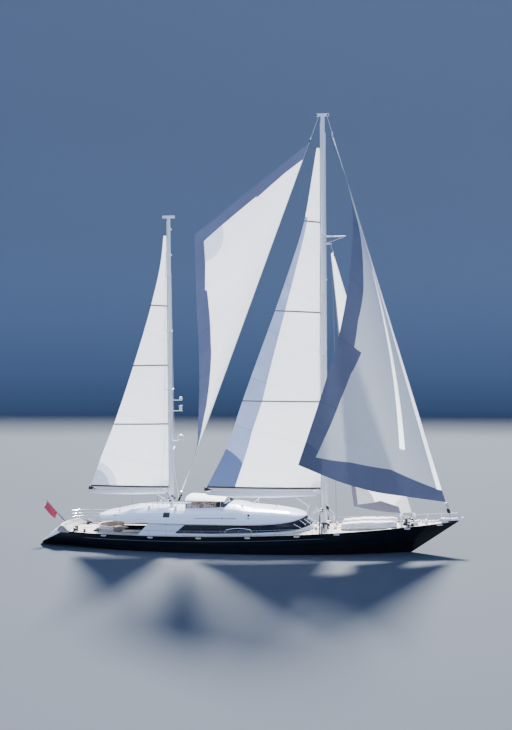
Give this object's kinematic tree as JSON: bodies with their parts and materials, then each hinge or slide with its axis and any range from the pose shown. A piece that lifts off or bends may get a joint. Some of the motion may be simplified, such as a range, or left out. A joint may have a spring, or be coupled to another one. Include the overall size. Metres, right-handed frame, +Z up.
{
  "type": "two-masted sailing yacht (ketch) under sail, 1:2 scale model of a 56 m yacht",
  "caption": "Ketch-rigged sailing yacht with a dark hull, white deckhouse and flybridge, teak decks, and its sails set, afloat at its waterline.",
  "frame": {"origin": "on the waterline, on the centre line, near amidships", "axes": "+X to the bow, +Y to port, +Z up"},
  "size_m": [28.4028, 6.0368, 31.415],
  "materials": {
    "hull_paint": "gloss",
    "white_paint": "gloss",
    "spar_paint": "satin",
    "teak": "matt",
    "antifouling": "matt",
    "glass": "gloss",
    "stainless": "satin",
    "bronze": "satin",
    "sailcloth": "matt",
    "fabric": "matt",
    "flag": "matt",
    "dark_metal": "satin"
  },
  "bodies": {
    "hull_set": {"aft_sofa": "white_paint", "aft_sofa_pad": "fabric", "bimini_cover": "fabric", "bimini_frame": "stainless", "bow_platform": "white_paint", "bulwark_port": "hull_paint", "bulwark_starboard": "hull_paint", "cockpit_table": "teak", "covered_tender_port": "fabric", "covered_tender_starboard": "fabric", "deck": "teak", "deckhouse_roof": "white_paint", "deckhouse_walls": "white_paint", "ensign": "flag", "ensign_staff": "white_paint", "flybridge_back_pad_port": "fabric", "flybridge_back_pad_starboard": "fabric", "flybridge_bench_port": "white_paint", "flybridge_bench_starboard": "white_paint", "flybridge_seat_pad_port": "fabric", "flybridge_seat_pad_starboard": "fabric", "front_glass": "glass", "genoa": "sailcloth", "genoa_stay": "stainless", "guardrail_port": "stainless", "guardrail_starboard": "stainless", "helm_console": "dark_metal", "hull": "hull_paint", "inner_forestay": "stainless", "keel": "antifouling", "main_mast": "spar_paint", "main_shroud_port": "stainless", "main_shroud_starboard": "stainless", "mizzen_mast": "spar_paint", "mizzen_shroud_port": "stainless", "mizzen_shroud_starboard": "stainless", "mizzen_staysail": "sailcloth", "mizzen_staysail_stay": "stainless", "propeller_shaft_port": "stainless", "propeller_shaft_starboard": "stainless", "pulpit": "stainless", "rudder_bearing": "antifouling", "side_glass_port": "glass", "side_glass_starboard": "glass", "staysail": "sailcloth", "transom_coaming": "white_paint", "windlass": "dark_metal", "windscreen": "glass"},
    "main_boom_set": {"main_boom": "spar_paint", "main_vang": "stainless", "mainsail": "sailcloth"},
    "mizzen_boom_set": {"mizzen_boom": "spar_paint", "mizzen_sail": "sailcloth", "mizzen_vang": "stainless"},
    "rudder_set": {"rudder": "antifouling"},
    "propeller_port_set": {"propeller_port": "bronze"},
    "propeller_starboard_set": {"propeller_starboard": "bronze"},
    "helm_wheel_set": {"helm_wheel": "stainless"},
    "radar_scanner_set": {"radar_scanner": "white_paint"},
    "saloon_door_set": {"saloon_door": "glass"}
  },
  "joints": [
    {"name": "main_boom_swing", "type": "hinge", "parent": "hull_set", "child": "main_boom_set", "pos_m": [4.33349, 0, 3.7], "axis": [-0.0035, 0, 1], "range_deg": [-67.2, 42.8]},
    {"name": "mizzen_boom_swing", "type": "hinge", "parent": "hull_set", "child": "mizzen_boom_set", "pos_m": [-5.96109, 0, 3.66], "axis": [-0.0105, 0, 0.9999], "range_deg": [-67, 43]},
    {"name": "rudder_turn", "type": "hinge", "parent": "hull_set", "child": "rudder_set", "pos_m": [-9.6, 0, -0.62], "axis": [0, 0, 1], "range_deg": [-35, 35]},
    {"name": "propeller_port_spin", "type": "hinge", "parent": "hull_set", "child": "propeller_port_set", "pos_m": [-8.1, 0.8, -1.08], "axis": [-0.9936, 0, -0.1131], "continuous": true},
    {"name": "propeller_starboard_spin", "type": "hinge", "parent": "hull_set", "child": "propeller_starboard_set", "pos_m": [-8.1, -0.8, -1.08], "axis": [-0.9936, 0, -0.1131], "continuous": true},
    {"name": "helm_wheel_turn", "type": "hinge", "parent": "hull_set", "child": "helm_wheel_set", "pos_m": [-2.62, -0.75, 2.84], "axis": [1, 0, 0], "range_deg": [-360, 360]},
    {"name": "radar_scanner_spin", "type": "hinge", "parent": "hull_set", "child": "radar_scanner_set", "pos_m": [-5.14, 0, 9.33], "axis": [0, 0, 1], "continuous": true},
    {"name": "saloon_door_slide", "type": "slide", "parent": "hull_set", "child": "saloon_door_set", "axis": [0, 1, 0], "range_m": [0, 0.9]}
  ],
  "couplings": [
    {"joint": "helm_wheel_turn", "follows": "rudder_turn", "ratio": 10.286}
  ]
}
